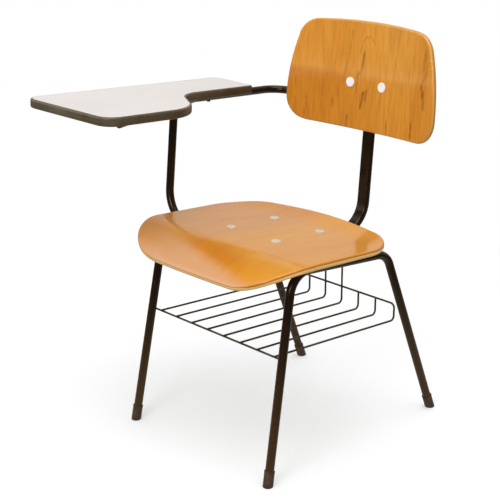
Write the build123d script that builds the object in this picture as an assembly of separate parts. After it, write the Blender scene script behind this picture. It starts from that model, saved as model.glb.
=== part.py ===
from build123d import *
import os
from math import asin, atan2, cos, degrees, radians, sin, sqrt, tan

# Tablet-arm chair: bent tube frame, moulded plywood seat and back, writing tablet, wire book basket.
# Millimetres and degrees. The chair faces -Y, Z is up, and the sitter's right hand is on the -X side.
# Everything is drawn about the chair's middle plane, x = 0, and moved to its origin at the end.

# ---- round tube of the frame ----
TUBE_DIAMETER = 19.05
TUBE_WALL = 1.5
TUBE_RADIUS = TUBE_DIAMETER / 2

# ---- side frames: foot, front corner, rear corner, foot ----
FRONT_FOOT_X = 219.5
FRONT_FOOT_Y = -273.0
REAR_FOOT_X = 212.0
REAR_FOOT_Y = 273.0
RAIL_X = 203.5
RAIL_FRONT_Y = -188.5
RAIL_FRONT_Z = 449.5
RAIL_REAR_Y = 104.0
RAIL_REAR_Z = 422.5
LEG_BEND_RADIUS = 50.0

# ---- foot tips pushed over the leg ends ----
TIP_HEIGHT = 35.0
TIP_SOLE = 8.0
TIP_WALL = 1.5
TIP_COLLAR_HEIGHT = 3.0
TIP_COLLAR_PROUD = 0.4
TIP_BOTTOM_ROUND = 1.5
FIT_CLEARANCE = 0.1

# ---- cross tubes under the seat ----
FRONT_CROSS_Y = -105.0
REAR_CROSS_Y = 30.0
FRONT_CROSS_RISE = 2.0
REAR_CROSS_RISE = 6.0

# ---- moulded plywood ----
SEAT_PLY = 13.0
BACK_PLY = 11.0
PLY_EDGE_ROUND = 4.0

# ---- seat outline in plan and its side profile ----
SEAT_HALF_WIDTH = 245.5
SEAT_FRONT_Y = -300.0
SEAT_FRONT_BOW = 4.0
SEAT_FRONT_CORNER = 127.0
SEAT_REAR_Y = 132.0
SEAT_REAR_BOW = 46.0
SEAT_REAR_CORNER = 113.0
WATERFALL_START_Y = -175.0
WATERFALL_RADIUS = 173.0
WATERFALL_ANGLE = 50.0
SEAT_UPTURN_START_Y = 42.0
SEAT_UPTURN_RADIUS = 385.0
SEAT_UPTURN_ANGLE = 16.0

# ---- rivets: wide low heads, shank, and a formed tail ----
RIVET_SHANK = 6.4
RIVET_HOLE_CLEARANCE = 0.15
RIVET_TAIL = 11.0
RIVET_TAIL_HEIGHT = 3.0
RIVET_TAIL_ROUND = 1.8
RIVET_HEAD_HEIGHT = 2.2
RIVET_HEAD_ROUND = 1.8
SEAT_RIVET_HEAD = 22.0
SEAT_RIVET_X = 70.5
BACK_RIVET_HEAD = 23.0
BACK_RIVET_X = 47.7
BACK_RIVET_V = -13.5

# ---- backrest: centre of its front face, lean, curvature, and outline about that centre ----
BACK_Y = 256.7
BACK_Z = 758.7
BACK_LEAN = 4.7
BACK_RADIUS = 749.0
BACK_BOTTOM_V = -121.0
BACK_BOTTOM_BOW = 3.0
BACK_TOP_V = 129.5
BACK_SHOULDER_V = 120.0
BACK_BOTTOM_HALF = 219.0
BACK_SIDE_BOW = 16.2
BACK_SIDE_BOW_V = 7.0
BACK_TOP_HALF = 183.0
BACK_BOTTOM_CORNER = 54.0
BACK_TOP_CORNER = 57.0
BACK_PLATE_LENGTH = 130.0
BACK_PLATE_HEIGHT = 38.0
BACK_PLATE_CORNER = 8.0
BACK_PLATE_THICKNESS = 4.5
BACK_PLATE_CLEARANCE = 0.2

# ---- spine: oblong tube that runs under the seat and up behind the backrest ----
SPINE_WIDTH = 30.0
SPINE_DEPTH = 16.0
SPINE_CORNER = 6.0
SPINE_WALL = 1.5
SPINE_BEND_RADIUS = 66.0
SPINE_FRONT_OVERHANG = 18.0
SPINE_TOP_V = 30.0

# ---- plugs in the open tube ends ----
PLUG_CAP = 3.0
PLUG_DEPTH = 12.0

# ---- writing tablet: height of its top at y = 0, slope, and plan outline ----
TABLET_Z = 730.0
TABLET_SLOPE = 2.93
TABLET_THICKNESS = 20.0
LAMINATE = 0.9
BACKING = 0.7
BAND = 5.0
BAND_ROUND = 4.5
TONGUE_LENGTH = 8.0
TONGUE_HEIGHT = 2.0
GROOVE_CLEARANCE = 0.15
TABLET_FRONT_Y = -402.0
TABLET_FRONT_OUTER_X = -415.0
TABLET_REAR_OUTER_X = -403.0
TABLET_WIDE_INNER_X = -114.5
TABLET_STEP_FRONT_Y = -164.0
TABLET_STEP_REAR_Y = -75.0
TABLET_NARROW_INNER_X = -258.0
TABLET_REAR_INNER_Y = 146.0
TABLET_REAR_OUTER_Y = 154.0
TABLET_CORNERS = (40.0, 39.0, 109.0, 79.0, 12.0, 20.0)

# ---- arm tube: from the spine under the seat, up, back under the tablet, and across to the spine ----
ARM_X = -327.5
ARM_FOOT_Y = -71.5
ARM_LEAN = 5.5
ARM_FOOT_BEND = 77.0
ARM_TOP_BEND = 50.0
ARM_REAR_BEND = 47.0
ARM_END_OVERHANG = 5.0

# ---- second support under the wide part of the tablet ----
SUPPORT_ROOT_Y = 18.0
SUPPORT_END_X = -181.0
SUPPORT_END_Y = -318.0

# ---- tablet screws ----
SCREW_DIAMETER = 4.2
SCREW_HOLE_CLEARANCE = 0.3
SCREW_HEAD = 9.0
SCREW_HEAD_HEIGHT = 3.0
SCREW_HEAD_ROUND = 1.8
SCREW_BITE = 13.0
ARM_SCREW_Y = 64.0
SUPPORT_SCREW_SHARES = (0.25, 0.5, 0.75)

# ---- book basket of steel wire ----
WIRE_DIAMETER = 4.5
WIRE_RADIUS = WIRE_DIAMETER / 2
BASKET_FRONT_Z = 267.2
BASKET_HALF_WIDTH = 182.5
BASKET_WIRES = 8
BASKET_REAR_Y = 163.0
BASKET_SLOPE = 3.7
BASKET_LIP = 39.0
BASKET_BEND = 10.0
BASKET_WIRE_OVERHANG = 7.0
HANGER_LENGTH = 75.0
HANGER_WIDTH = 16.0
HANGER_THICKNESS = 3.0

# ---- directions and places that follow from the sizes above ----
RAIL_SLOPE = atan2(RAIL_FRONT_Z - RAIL_REAR_Z, RAIL_REAR_Y - RAIL_FRONT_Y)


def rail_z(y):
    """Height of the side rails' centre line."""
    return RAIL_FRONT_Z - (y - RAIL_FRONT_Y) * tan(RAIL_SLOPE)


FRONT_CROSS = Vector(0, FRONT_CROSS_Y, rail_z(FRONT_CROSS_Y) + FRONT_CROSS_RISE)
REAR_CROSS = Vector(0, REAR_CROSS_Y, rail_z(REAR_CROSS_Y) + REAR_CROSS_RISE)
SEAT_SLOPE = atan2(FRONT_CROSS.Z - REAR_CROSS.Z, REAR_CROSS_Y - FRONT_CROSS_Y)

# Seat frame: origin on the front cross tube's axis, local Y rearwards along the seat, local Z out of it.
SEAT_FRAME = Plane(FRONT_CROSS, x_dir=(1, 0, 0), z_dir=(0, sin(SEAT_SLOPE), cos(SEAT_SLOPE)))
# Back frame: origin in the middle of the backrest's front face, local Y up it, local Z to the sitter.
LEAN = radians(BACK_LEAN)
BACK_FRAME = Plane((0, BACK_Y, BACK_Z), x_dir=(1, 0, 0), z_dir=(0, -cos(LEAN), sin(LEAN)))
# Tablet frame: origin on its top surface over y = 0, local Y rearwards, local Z out of the top.
SLOPE = radians(TABLET_SLOPE)
TABLET_FRAME = Plane((0, 0, TABLET_Z), x_dir=(1, 0, 0), z_dir=(0, sin(SLOPE), cos(SLOPE)))

SEAT_TOP = TUBE_RADIUS + SEAT_PLY
RIVET_HOLE_RADIUS = RIVET_SHANK / 2 + RIVET_HOLE_CLEARANCE
BACK_GRIP = BACK_PLY + BACK_PLATE_CLEARANCE + BACK_PLATE_THICKNESS
SPINE_BEHIND = BACK_GRIP + SPINE_DEPTH / 2
ARM_UNDER = TABLET_THICKNESS + TUBE_RADIUS


def meet(point_a, direction_a, point_b, direction_b):
    """Where two lines in planes of constant x cross, seen from the side; x is taken from the first."""
    gap = point_b - point_a
    turn = direction_a.Y * direction_b.Z - direction_a.Z * direction_b.Y
    run = (gap.Y * direction_b.Z - gap.Z * direction_b.Y) / turn
    return point_a + direction_a * run


def seat_local_y(y):
    """Distance along the seat frame for a place given by its y."""
    return (y - FRONT_CROSS_Y) / cos(SEAT_SLOPE)


# ---- small builders ----
def facing(point, direction):
    """A plane square to a direction, its local X across the chair unless the direction itself is."""
    across = (0, 1, 0) if abs(direction.X) > cos(radians(45)) else (1, 0, 0)
    return Plane(point, x_dir=across, z_dir=direction)


def sweep_along(path, section):
    return sweep(facing(path @ 0, path % 0) * section, path=path)


def round_section(diameter, wall=None):
    outer = Circle(diameter / 2)
    return outer if wall is None else outer - Circle(diameter / 2 - wall)


def oblong_section(inset=0.0):
    width = SPINE_WIDTH - 2 * inset
    depth = SPINE_DEPTH - 2 * inset
    return RectangleRounded(width, depth, SPINE_CORNER - inset)


def straight_tube(start, end, diameter, wall=None):
    """A straight tube or rod between two points; its section may stand on any axis."""
    axis = end - start
    return extrude(Plane(start, z_dir=axis) * round_section(diameter, wall), axis.length, axis.normalized())


def rivet(grip, head_diameter):
    """A rivet down local Z: head on z = 0, shank through the grip, formed tail below it."""
    head = Pos(0, 0, RIVET_HEAD_HEIGHT / 2) * Cylinder(head_diameter / 2, RIVET_HEAD_HEIGHT)
    head = fillet(head.edges().group_by(Axis.Z)[-1], RIVET_HEAD_ROUND)
    shank = Pos(0, 0, -grip / 2) * Cylinder(RIVET_SHANK / 2, grip)
    tail = Pos(0, 0, -grip - RIVET_TAIL_HEIGHT / 2) * Cylinder(RIVET_TAIL / 2, RIVET_TAIL_HEIGHT)
    tail = fillet(tail.edges().group_by(Axis.Z)[0], RIVET_TAIL_ROUND)
    return head + shank + tail


def rivet_hole(reach):
    """A cutter along local Z that reaches as far to each side of the local origin."""
    return Cylinder(RIVET_HOLE_RADIUS, 2 * reach)


def rims(sheet, thickness):
    """A sheet's long edges, without the short ones across its thickness."""
    return sheet.edges().filter_by(lambda edge: edge.length > 2 * thickness)


# ---- side frames ----
def leg_corners(side):
    """Front foot on the floor, front corner, rear corner and rear foot of one side frame."""
    return (
        Vector(side * FRONT_FOOT_X, FRONT_FOOT_Y, 0),
        Vector(side * RAIL_X, RAIL_FRONT_Y, RAIL_FRONT_Z),
        Vector(side * RAIL_X, RAIL_REAR_Y, RAIL_REAR_Z),
        Vector(side * REAR_FOOT_X, REAR_FOOT_Y, 0),
    )


def side_frame_path(side):
    front_foot, front_corner, rear_corner, rear_foot = leg_corners(side)
    front_end = front_foot + (front_corner - front_foot).normalized() * TIP_SOLE
    rear_end = rear_foot + (rear_corner - rear_foot).normalized() * TIP_SOLE
    return FilletPolyline(front_end, front_corner, rear_corner, rear_end, radius=LEG_BEND_RADIUS)


def side_frame(side):
    return sweep_along(side_frame_path(side), round_section(TUBE_DIAMETER, TUBE_WALL))


def side_frame_core(side):
    """The side frame without its bore, to cope other tubes against."""
    return sweep_along(side_frame_path(side), round_section(TUBE_DIAMETER))


def foot_tip(foot, corner):
    """A tip over one leg end, worn flat where it stands on the floor."""
    along = Plane(foot, z_dir=corner - foot)
    outer = TUBE_RADIUS + FIT_CLEARANCE + TIP_WALL
    body = Pos(0, 0, (TIP_HEIGHT - TIP_SOLE) / 2) * Cylinder(outer, TIP_HEIGHT + TIP_SOLE)
    collar_middle = TIP_HEIGHT - TIP_COLLAR_HEIGHT / 2
    body += Pos(0, 0, collar_middle) * Cylinder(outer + TIP_COLLAR_PROUD, TIP_COLLAR_HEIGHT)
    body -= Pos(0, 0, TIP_SOLE + TIP_HEIGHT / 2) * Cylinder(TUBE_RADIUS + FIT_CLEARANCE, TIP_HEIGHT)
    tip = along.location * body
    below = Pos(foot.X, foot.Y, -TIP_HEIGHT / 2) * Box(4 * outer, 4 * outer, TIP_HEIGHT)
    tip -= below
    return fillet(tip.edges().group_by(Axis.Z)[0], TIP_BOTTOM_ROUND)


# ---- cross tubes, spine and arm ----
def cross_tube(centre, side_cores):
    left = Vector(-RAIL_X, centre.Y, centre.Z)
    right = Vector(RAIL_X, centre.Y, centre.Z)
    tube = straight_tube(left, right, TUBE_DIAMETER, TUBE_WALL)
    for core in side_cores:
        tube -= core
    middle = tube.solids().sort_by(SortBy.VOLUME)[-1]
    for x in (-SEAT_RIVET_X, SEAT_RIVET_X):
        place = SEAT_FRAME.location * Pos(x, seat_local_y(centre.Y), 0)
        middle -= place * rivet_hole(TUBE_DIAMETER)
    return middle


def spine_path():
    run_height = -TUBE_RADIUS - SPINE_DEPTH / 2
    front = SEAT_FRAME.from_local_coords(Vector(0, -SPINE_FRONT_OVERHANG, run_height))
    upright = BACK_FRAME.from_local_coords(Vector(0, 0, -SPINE_BEHIND))
    top = BACK_FRAME.from_local_coords(Vector(0, SPINE_TOP_V, -SPINE_BEHIND))
    heel = meet(front, SEAT_FRAME.y_dir, upright, BACK_FRAME.y_dir)
    return FilletPolyline(front, heel, top, radius=SPINE_BEND_RADIUS)


def back_spine(path):
    return sweep_along(path, oblong_section() - oblong_section(SPINE_WALL))


def end_plug(end, outward, cap, insert):
    """A cap on a tube end with a stub inside it; outward points out of the tube."""
    plug = extrude(cap, PLUG_CAP) + extrude(insert, -PLUG_DEPTH)
    return facing(end, outward).location * plug


def spine_plug(end, outward):
    return end_plug(end, outward, oblong_section(), oblong_section(SPINE_WALL + FIT_CLEARANCE))


def round_plug(end, outward):
    insert = Circle(TUBE_RADIUS - TUBE_WALL - FIT_CLEARANCE)
    return end_plug(end, outward, Circle(TUBE_RADIUS), insert)


def arm_path():
    run_z = rail_z(ARM_FOOT_Y) - TUBE_DIAMETER / cos(RAIL_SLOPE)
    foot = Vector(ARM_X, ARM_FOOT_Y, run_z)
    lean = radians(ARM_LEAN)
    under_tablet = TABLET_FRAME.from_local_coords(Vector(ARM_X, 0, -ARM_UNDER))
    top = meet(under_tablet, TABLET_FRAME.y_dir, foot, Vector(0, sin(lean), cos(lean)))
    behind_spine = BACK_FRAME.from_local_coords(Vector(0, 0, -SPINE_BEHIND - SPINE_DEPTH / 2 - TUBE_RADIUS))
    rear = meet(under_tablet, TABLET_FRAME.y_dir, behind_spine, BACK_FRAME.y_dir)
    start = Vector(-SPINE_WIDTH / 2, foot.Y, foot.Z)
    end = Vector(SPINE_WIDTH / 2 + ARM_END_OVERHANG, rear.Y, rear.Z)
    return FilletPolyline(start, foot, top, rear, end, radius=[ARM_FOOT_BEND, ARM_TOP_BEND, ARM_REAR_BEND])


def support_ends():
    root = TABLET_FRAME.from_local_coords(Vector(ARM_X, SUPPORT_ROOT_Y, -ARM_UNDER))
    tip = TABLET_FRAME.from_local_coords(Vector(SUPPORT_END_X, SUPPORT_END_Y, -ARM_UNDER))
    return root, tip


def tablet_support_tube(arm_core):
    root, tip = support_ends()
    tube = straight_tube(root, tip, TUBE_DIAMETER, TUBE_WALL) - arm_core
    return tube.solids().sort_by(SortBy.VOLUME)[-1]


# ---- tablet ----
def tablet_outline():
    corners = (
        (TABLET_FRONT_OUTER_X, TABLET_FRONT_Y),
        (TABLET_WIDE_INNER_X, TABLET_FRONT_Y),
        (TABLET_WIDE_INNER_X, TABLET_STEP_FRONT_Y),
        (TABLET_NARROW_INNER_X, TABLET_STEP_REAR_Y),
        (TABLET_NARROW_INNER_X, TABLET_REAR_INNER_Y),
        (TABLET_REAR_OUTER_X, TABLET_REAR_OUTER_Y),
    )
    return make_face(FilletPolyline(*corners, radius=list(TABLET_CORNERS), close=True))


def slab(face, top, bottom):
    """A flat plate between two depths below the tablet's top, in the tablet frame."""
    return Pos(0, 0, -bottom) * extrude(face, bottom - top)


def screw_places():
    """Local x and y of each tablet screw: one up through the arm tube, the rest up the second support."""
    places = [(ARM_X, ARM_SCREW_Y)]
    for share in SUPPORT_SCREW_SHARES:
        x = ARM_X + share * (SUPPORT_END_X - ARM_X)
        y = SUPPORT_ROOT_Y + share * (SUPPORT_END_Y - SUPPORT_ROOT_Y)
        places.append((x, y))
    return places


def screw_shanks(radius):
    """Straight rods where the screws go, from below the tubes to their ends inside the board."""
    length = SCREW_BITE + TUBE_DIAMETER
    middle = SCREW_BITE - TABLET_THICKNESS - length / 2
    return [Pos(x, y, middle) * Cylinder(radius, length) for x, y in screw_places()]


def drilled_tube(tube):
    """A tube with the screws' clearance holes through it."""
    for shank in screw_shanks(SCREW_DIAMETER / 2 + SCREW_HOLE_CLEARANCE):
        tube -= TABLET_FRAME.location * shank
    return tube


def tablet_screws():
    screws = []
    for (x, y), shank in zip(screw_places(), screw_shanks(SCREW_DIAMETER / 2)):
        middle = -TABLET_THICKNESS - TUBE_DIAMETER - SCREW_HEAD_HEIGHT / 2
        head = Pos(x, y, middle) * Cylinder(SCREW_HEAD / 2, SCREW_HEAD_HEIGHT)
        head = fillet(head.edges().group_by(Axis.Z)[0], SCREW_HEAD_ROUND)
        screws.append(TABLET_FRAME.location * (shank + head))
    return Compound(screws)


def tablet_parts():
    """Board, laminate, backing and edge band; the band's tongue sits in a groove round the board."""
    face = tablet_outline()
    core = offset(face, -BAND, kind=Kind.ARC)
    tongue_top = (TABLET_THICKNESS - TONGUE_HEIGHT) / 2
    tongue_bottom = tongue_top + TONGUE_HEIGHT
    inside_tongue = offset(core, -TONGUE_LENGTH, kind=Kind.ARC)
    inside_groove = offset(core, -TONGUE_LENGTH - GROOVE_CLEARANCE, kind=Kind.ARC)

    band = slab(face, 0, TABLET_THICKNESS)
    edges_by_height = band.edges().group_by(Axis.Z)
    band = fillet(edges_by_height[0] + edges_by_height[-1], BAND_ROUND)
    band -= slab(core, 0, TABLET_THICKNESS)
    band += slab(core - inside_tongue, tongue_top, tongue_bottom)

    board = slab(core, LAMINATE, TABLET_THICKNESS - BACKING)
    groove = slab(core - inside_groove, tongue_top - GROOVE_CLEARANCE, tongue_bottom + GROOVE_CLEARANCE)
    board -= groove
    backing = slab(core, TABLET_THICKNESS - BACKING, TABLET_THICKNESS)
    for shank in screw_shanks(SCREW_DIAMETER / 2):
        board -= shank
        backing -= shank
    tablet = {
        "tablet_board": board,
        "tablet_laminate": slab(core, 0, LAMINATE),
        "tablet_backing": backing,
        "tablet_edge_band": band,
    }
    return {name: TABLET_FRAME.location * part for name, part in tablet.items()}


# ---- seat ----
def seat_outline():
    """The seat in plan: bowed front and rear edges, straight sides, large corners."""
    half = SEAT_HALF_WIDTH
    front_y = SEAT_FRONT_Y + SEAT_FRONT_BOW
    rear_y = SEAT_REAR_Y - SEAT_REAR_BOW
    edges = Curve() + [
        ThreePointArc((-half, front_y), (0, SEAT_FRONT_Y), (half, front_y)),
        Line((half, front_y), (half, rear_y)),
        ThreePointArc((half, rear_y), (0, SEAT_REAR_Y), (-half, rear_y)),
        Line((-half, rear_y), (-half, front_y)),
    ]
    face = make_face(edges)
    by_y = face.vertices().group_by(Axis.Y)
    face = fillet(by_y[0], SEAT_FRONT_CORNER)
    rear_corners = face.vertices().group_by(Axis.Y)[-1]
    return fillet(rear_corners, SEAT_REAR_CORNER)


def seat_top_line():
    """The seat's top from the side, in the seat frame: each end bends, then runs on straight."""
    front = (seat_local_y(WATERFALL_START_Y), SEAT_TOP)
    rear = (seat_local_y(SEAT_UPTURN_START_Y), SEAT_TOP)
    waterfall = JernArc(front, (-1, 0), WATERFALL_RADIUS, WATERFALL_ANGLE)
    upturn = JernArc(rear, (1, 0), SEAT_UPTURN_RADIUS, SEAT_UPTURN_ANGLE)
    run_on = SEAT_REAR_Y - SEAT_FRONT_Y
    lip = Line(waterfall @ 1, waterfall @ 1 + (waterfall % 1) * run_on)
    tail = Line(upturn @ 1, upturn @ 1 + (upturn % 1) * run_on)
    return Plane.YZ * (lip + waterfall + Line(front, rear) + upturn + tail)


def seat_shell():
    """The top surface, trimmed to the outline and thickened, so that every edge is cut square to it."""
    line = Wire((SEAT_FRAME.location * seat_top_line()).edges())
    sheet = Shell.extrude(line, Vector(4 * SEAT_HALF_WIDTH, 0, 0)).moved(Pos(-2 * SEAT_HALF_WIDTH, 0, 0))
    column = extrude(seat_outline(), FRONT_CROSS.Z + 2 * SEAT_HALF_WIDTH)
    top = sheet & column
    shell = Solid.thicken(Shell(top.faces()), SEAT_PLY)
    shell = fillet(rims(shell, SEAT_PLY), PLY_EDGE_ROUND)
    for place in seat_rivet_places():
        shell -= place * rivet_hole(2 * SEAT_PLY)
    return shell


def seat_rivet_places():
    """The top surface of the seat over each cross tube, left and right."""
    ys = (0, seat_local_y(REAR_CROSS_Y))
    return [SEAT_FRAME.location * Pos(x, y, SEAT_TOP) for y in ys for x in (-SEAT_RIVET_X, SEAT_RIVET_X)]


def seat_rivets():
    grip = SEAT_PLY + TUBE_DIAMETER
    return Compound([place * rivet(grip, SEAT_RIVET_HEAD) for place in seat_rivet_places()])


# ---- backrest ----
def back_outline():
    """The backrest seen square on: bowed bottom, sides that draw in upwards, a crowned top."""
    low_v = BACK_BOTTOM_V + BACK_BOTTOM_BOW
    low_right = (BACK_BOTTOM_HALF, low_v)
    low_left = (-BACK_BOTTOM_HALF, low_v)
    high_right = (BACK_TOP_HALF, BACK_SHOULDER_V)
    high_left = (-BACK_TOP_HALF, BACK_SHOULDER_V)
    share = (BACK_SIDE_BOW_V - low_v) / (BACK_SHOULDER_V - low_v)
    middle_half = BACK_BOTTOM_HALF + share * (BACK_TOP_HALF - BACK_BOTTOM_HALF) + BACK_SIDE_BOW
    edges = Curve() + [
        ThreePointArc(low_left, (0, BACK_BOTTOM_V), low_right),
        ThreePointArc(low_right, (middle_half, BACK_SIDE_BOW_V), high_right),
        ThreePointArc(high_right, (0, BACK_TOP_V), high_left),
        ThreePointArc(high_left, (-middle_half, BACK_SIDE_BOW_V), low_left),
    ]
    face = make_face(edges)
    face = fillet(face.vertices().group_by(Axis.Y)[0], BACK_BOTTOM_CORNER)
    return fillet(face.vertices().group_by(Axis.Y)[-1], BACK_TOP_CORNER)


def curved_sheet(face, near, thickness):
    """A sheet bent about the backrest's vertical axis, from `near` behind its front face."""
    inner = BACK_RADIUS + near
    length = 2 * (BACK_TOP_V - BACK_BOTTOM_V)
    axis = Pos(0, 0, BACK_RADIUS) * Rot(90, 0, 0)
    ring = axis * (Cylinder(inner + thickness, length) - Cylinder(inner, length))
    return ring & extrude(face, BACK_BOTTOM_HALF, both=True)


def back_rivet_places():
    """Each back rivet's seat on the front face, square to the curved sheet."""
    swing = degrees(asin(BACK_RIVET_X / BACK_RADIUS))
    on_axis = Pos(0, BACK_RIVET_V, BACK_RADIUS)
    return [on_axis * Rot(0, angle, 0) * Pos(0, 0, -BACK_RADIUS) for angle in (-swing, swing)]


def riveted(sheet):
    for place in back_rivet_places():
        sheet -= place * rivet_hole(2 * BACK_GRIP)
    return BACK_FRAME.location * sheet


def backrest_shell():
    sheet = curved_sheet(back_outline(), 0, BACK_PLY)
    return riveted(fillet(rims(sheet, BACK_PLY), PLY_EDGE_ROUND))


def back_plate():
    face = Pos(0, BACK_RIVET_V) * RectangleRounded(BACK_PLATE_LENGTH, BACK_PLATE_HEIGHT, BACK_PLATE_CORNER)
    return riveted(curved_sheet(face, BACK_PLY + BACK_PLATE_CLEARANCE, BACK_PLATE_THICKNESS))


def back_rivets():
    """The flat heads bridge the hollow face of the sheet, so they stand off it by its sag."""
    sag = BACK_RADIUS - sqrt(BACK_RADIUS**2 - (BACK_RIVET_HEAD / 2) ** 2)
    one = Pos(0, 0, sag) * rivet(BACK_GRIP + sag, BACK_RIVET_HEAD)
    return Compound([BACK_FRAME.location * place * one for place in back_rivet_places()])


# ---- basket ----
def front_wire_centre():
    """Middle of the cross wire that lies against the rear of the front legs, under the long wires."""
    front_foot, front_corner = leg_corners(1)[:2]
    z = BASKET_FRONT_Z - WIRE_DIAMETER / cos(radians(BASKET_SLOPE))
    leg = front_foot + (front_corner - front_foot) * (z / front_corner.Z)
    lean = atan2(front_corner.Y - front_foot.Y, front_corner.Z)
    return Vector(leg.X, leg.Y + (TUBE_RADIUS + WIRE_RADIUS) / cos(lean), z)


def basket_z(y):
    """Height of the long wires' centre lines, set where they cross the front wire."""
    return BASKET_FRONT_Z - (y - front_wire_centre().Y) * tan(radians(BASKET_SLOPE))


def bent_wire(points):
    path = FilletPolyline(*points, radius=BASKET_BEND)
    return sweep_along(path, round_section(WIRE_DIAMETER))


def basket_front_wire():
    left = front_wire_centre()
    right = Vector(-left.X, left.Y, left.Z)
    return straight_tube(right, left, WIRE_DIAMETER)


def long_wire_points(x, rear_y, top_z):
    """Front end, heel and top of one long wire."""
    front_y = front_wire_centre().Y - BASKET_WIRE_OVERHANG
    heel_z = basket_z(rear_y)
    return Vector(x, front_y, basket_z(front_y)), Vector(x, rear_y, heel_z), Vector(x, rear_y, top_z)


def basket_rim_wire():
    """Both outer wires and the rear top wire, bent from one length."""
    lip_z = basket_z(BASKET_REAR_Y) + BASKET_LIP
    right = long_wire_points(-BASKET_HALF_WIDTH, BASKET_REAR_Y, lip_z)
    left = long_wire_points(BASKET_HALF_WIDTH, BASKET_REAR_Y, lip_z)
    return bent_wire([*right, *reversed(left)])


def basket_long_wires():
    """The inner wires, in front of the rear top wire; the two middle ones go on up to the hanger."""
    rear_y = BASKET_REAR_Y - WIRE_DIAMETER
    lip_top = basket_z(BASKET_REAR_Y) + BASKET_LIP + WIRE_RADIUS
    pitch = 2 * BASKET_HALF_WIDTH / (BASKET_WIRES - 1)
    wires = []
    for number in range(1, BASKET_WIRES - 1):
        x = -BASKET_HALF_WIDTH + pitch * number
        top_z = hanger_underside_z(rear_y) if abs(x) < pitch else lip_top
        wires.append(bent_wire(long_wire_points(x, rear_y, top_z)))
    return wires


def hanger_underside_z(y):
    """Height of the hanger plate's underside where a wire's flat end first meets it."""
    height = -TUBE_RADIUS - SPINE_DEPTH - HANGER_THICKNESS
    under = SEAT_FRAME.from_local_coords(Vector(0, 0, height))
    return under.Z - (y + WIRE_RADIUS - under.Y) * tan(SEAT_SLOPE)


def basket_hanger_plate():
    """A flat across the underside of the spine that the two middle wires are welded to."""
    height = -TUBE_RADIUS - SPINE_DEPTH - HANGER_THICKNESS / 2
    y = seat_local_y(BASKET_REAR_Y - WIRE_DIAMETER)
    plate = Box(HANGER_LENGTH, HANGER_WIDTH, HANGER_THICKNESS)
    return SEAT_FRAME.location * Pos(0, y, height) * plate


# ---- the whole chair ----
def all_parts():
    parts = {}
    for name, side in (("right", -1), ("left", 1)):
        parts[f"{name}_side_frame"] = side_frame(side)
        front_foot, front_corner, rear_corner, rear_foot = leg_corners(side)
        parts[f"front_{name}_foot_tip"] = foot_tip(front_foot, front_corner)
        parts[f"rear_{name}_foot_tip"] = foot_tip(rear_foot, rear_corner)

    cores = [side_frame_core(side) for side in (-1, 1)]
    parts["front_cross_tube"] = cross_tube(FRONT_CROSS, cores)
    parts["rear_cross_tube"] = cross_tube(REAR_CROSS, cores)

    spine = spine_path()
    parts["back_spine"] = back_spine(spine)
    parts["spine_front_plug"] = spine_plug(spine @ 0, -(spine % 0))
    parts["spine_top_plug"] = spine_plug(spine @ 1, spine % 1)

    arm = arm_path()
    parts["arm_tube"] = drilled_tube(sweep_along(arm, round_section(TUBE_DIAMETER, TUBE_WALL)))
    parts["arm_tube_plug"] = round_plug(arm @ 1, arm % 1)
    arm_core = sweep_along(arm, round_section(TUBE_DIAMETER))
    parts["tablet_support_tube"] = drilled_tube(tablet_support_tube(arm_core))
    root, tip = support_ends()
    parts["tablet_support_plug"] = round_plug(tip, (tip - root).normalized())

    parts.update(tablet_parts())
    parts["tablet_screws"] = tablet_screws()
    parts["seat_shell"] = seat_shell()
    parts["seat_rivets"] = seat_rivets()
    parts["backrest_shell"] = backrest_shell()
    parts["back_plate"] = back_plate()
    parts["back_rivets"] = back_rivets()

    parts["basket_front_wire"] = basket_front_wire()
    parts["basket_rim_wire"] = basket_rim_wire()
    for number, long_wire in enumerate(basket_long_wires(), start=1):
        parts[f"basket_long_wire_{number}"] = long_wire
    parts["basket_hanger_plate"] = basket_hanger_plate()
    return parts


def write_parts(parts):
    """Move the chair so that the origin is on the floor under the middle of its box, and write it."""
    box = Compound(list(parts.values())).bounding_box()
    middle = box.center()
    to_origin = Pos(-middle.X, -middle.Y, -box.min.Z)
    os.makedirs("parts", exist_ok=True)
    for name, part in parts.items():
        export_step(to_origin * part, f"parts/{name}.step")


write_parts(all_parts())
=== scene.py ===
from math import atan2, cos, pi, radians, sin, tan

import bpy
import numpy as np
from mathutils import Euler, Matrix, Vector


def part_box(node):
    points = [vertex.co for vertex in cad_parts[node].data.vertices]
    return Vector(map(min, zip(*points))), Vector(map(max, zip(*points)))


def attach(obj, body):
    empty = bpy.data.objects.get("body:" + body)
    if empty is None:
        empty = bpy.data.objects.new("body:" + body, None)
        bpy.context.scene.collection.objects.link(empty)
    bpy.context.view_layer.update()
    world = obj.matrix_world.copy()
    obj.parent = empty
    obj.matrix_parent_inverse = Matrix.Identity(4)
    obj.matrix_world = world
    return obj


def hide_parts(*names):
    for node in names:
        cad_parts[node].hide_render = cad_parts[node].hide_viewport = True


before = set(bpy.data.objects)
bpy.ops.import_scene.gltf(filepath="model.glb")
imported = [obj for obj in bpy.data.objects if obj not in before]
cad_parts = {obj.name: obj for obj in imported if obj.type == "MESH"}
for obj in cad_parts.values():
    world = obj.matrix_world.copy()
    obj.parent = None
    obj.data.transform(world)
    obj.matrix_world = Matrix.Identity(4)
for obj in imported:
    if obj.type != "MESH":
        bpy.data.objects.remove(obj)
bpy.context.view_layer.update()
MM = 0.001


# ---------------------------------------------------------------- places taken from the frame
def middle(node):
    low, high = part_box(node)
    return (low + high) / 2


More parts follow.
